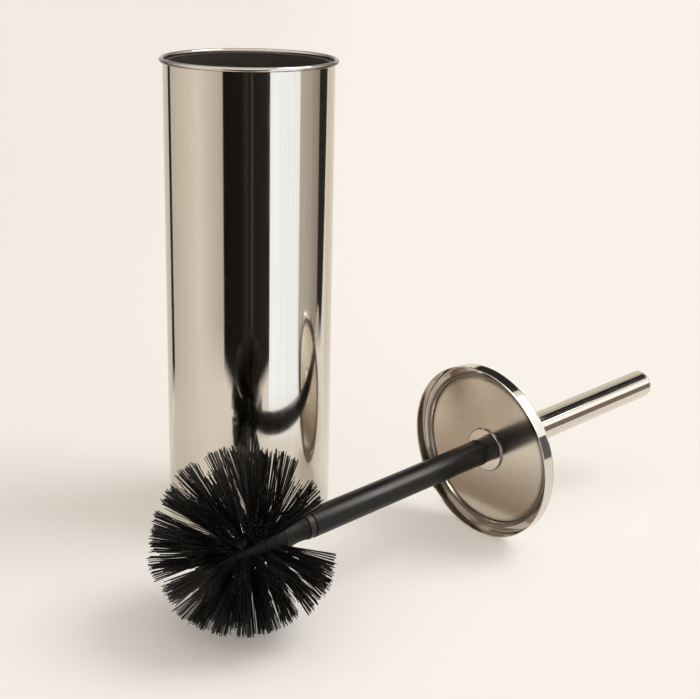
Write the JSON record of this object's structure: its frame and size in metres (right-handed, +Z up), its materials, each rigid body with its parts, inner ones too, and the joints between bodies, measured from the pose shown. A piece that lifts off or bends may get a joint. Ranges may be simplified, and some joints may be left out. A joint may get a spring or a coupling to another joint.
{
  "type": "toilet brush holder",
  "caption": "Free-standing polished steel canister with a lift-out liner, beside its lidded brush: steel grip, black shaft and a round head of bristle tufts",
  "frame": {"origin": "centre of the holder's foot, on the floor", "axes": "+Z up; +X along the lying brush from bristles to grip; +Y from the brush towards the holder"},
  "size_m": [0.3807, 0.2216, 0.283],
  "materials": {
    "polished_steel": "polished",
    "satin_steel": "satin",
    "liner_black": "matte",
    "pad_black": "matte",
    "shaft_black": "satin",
    "ring_grey": "satin",
    "bristle_black": "satin"
  },
  "bodies": {
    "holder": {"holder_tube": "polished_steel", "holder_base": "satin_steel", "floor_pad": "pad_black"},
    "liner": {"inner_liner": "liner_black"},
    "brush": {"lid_cover": "polished_steel", "lid_inner_plate": "polished_steel", "lid_washer": "satin_steel", "tie_stud": "satin_steel", "shaft_collar": "shaft_black", "shaft_tube": "shaft_black", "shaft_end_plug": "shaft_black"},
    "grip_seal": {"grip_gasket": "pad_black"},
    "grip": {"grip_tube": "polished_steel", "grip_plug": "shaft_black", "grip_cap": "polished_steel"},
    "head_seal": {"neck_ring": "ring_grey"},
    "head": {"head_core": "bristle_black", "head_nose": "bristle_black", "bristle_row_1": "bristle_black", "bristle_row_2": "bristle_black", "bristle_row_3": "bristle_black", "bristle_row_4": "bristle_black", "bristle_row_5": "bristle_black", "bristle_row_6": "bristle_black"}
  },
  "joints": [
    {"name": "liner_lift", "type": "slide", "parent": "holder", "child": "liner", "axis": [0, 0, 1], "range_m": [0, 0.29]},
    {"name": "brush_lift", "type": "slide", "parent": "holder", "child": "brush", "axis": [0, 0, 1], "range_m": [0, 0.3]},
    {"name": "grip_travel", "type": "slide", "parent": "brush", "child": "grip_seal", "axis": [0.9985, 0, 0.0538], "range_m": [0, 0.0121]},
    {"name": "grip_unscrew", "type": "hinge", "parent": "grip_seal", "child": "grip", "pos_m": [0.09349, -0.1161, 0.05391], "axis": [0.9985, 0, 0.0538], "range_deg": [0, 1440]},
    {"name": "head_travel", "type": "slide", "parent": "brush", "child": "head_seal", "axis": [-0.9985, 0, -0.0538], "range_m": [0, 0.0121]},
    {"name": "head_unscrew", "type": "hinge", "parent": "head_seal", "child": "head", "pos_m": [-0.051, -0.1161, 0.04612], "axis": [-0.9985, 0, -0.0538], "range_deg": [0, 1440]}
  ],
  "couplings": [
    {"joint": "grip_travel", "follows": "grip_unscrew", "m_per_rad": 0.00047746},
    {"joint": "head_travel", "follows": "head_unscrew", "m_per_rad": 0.00047746}
  ]
}
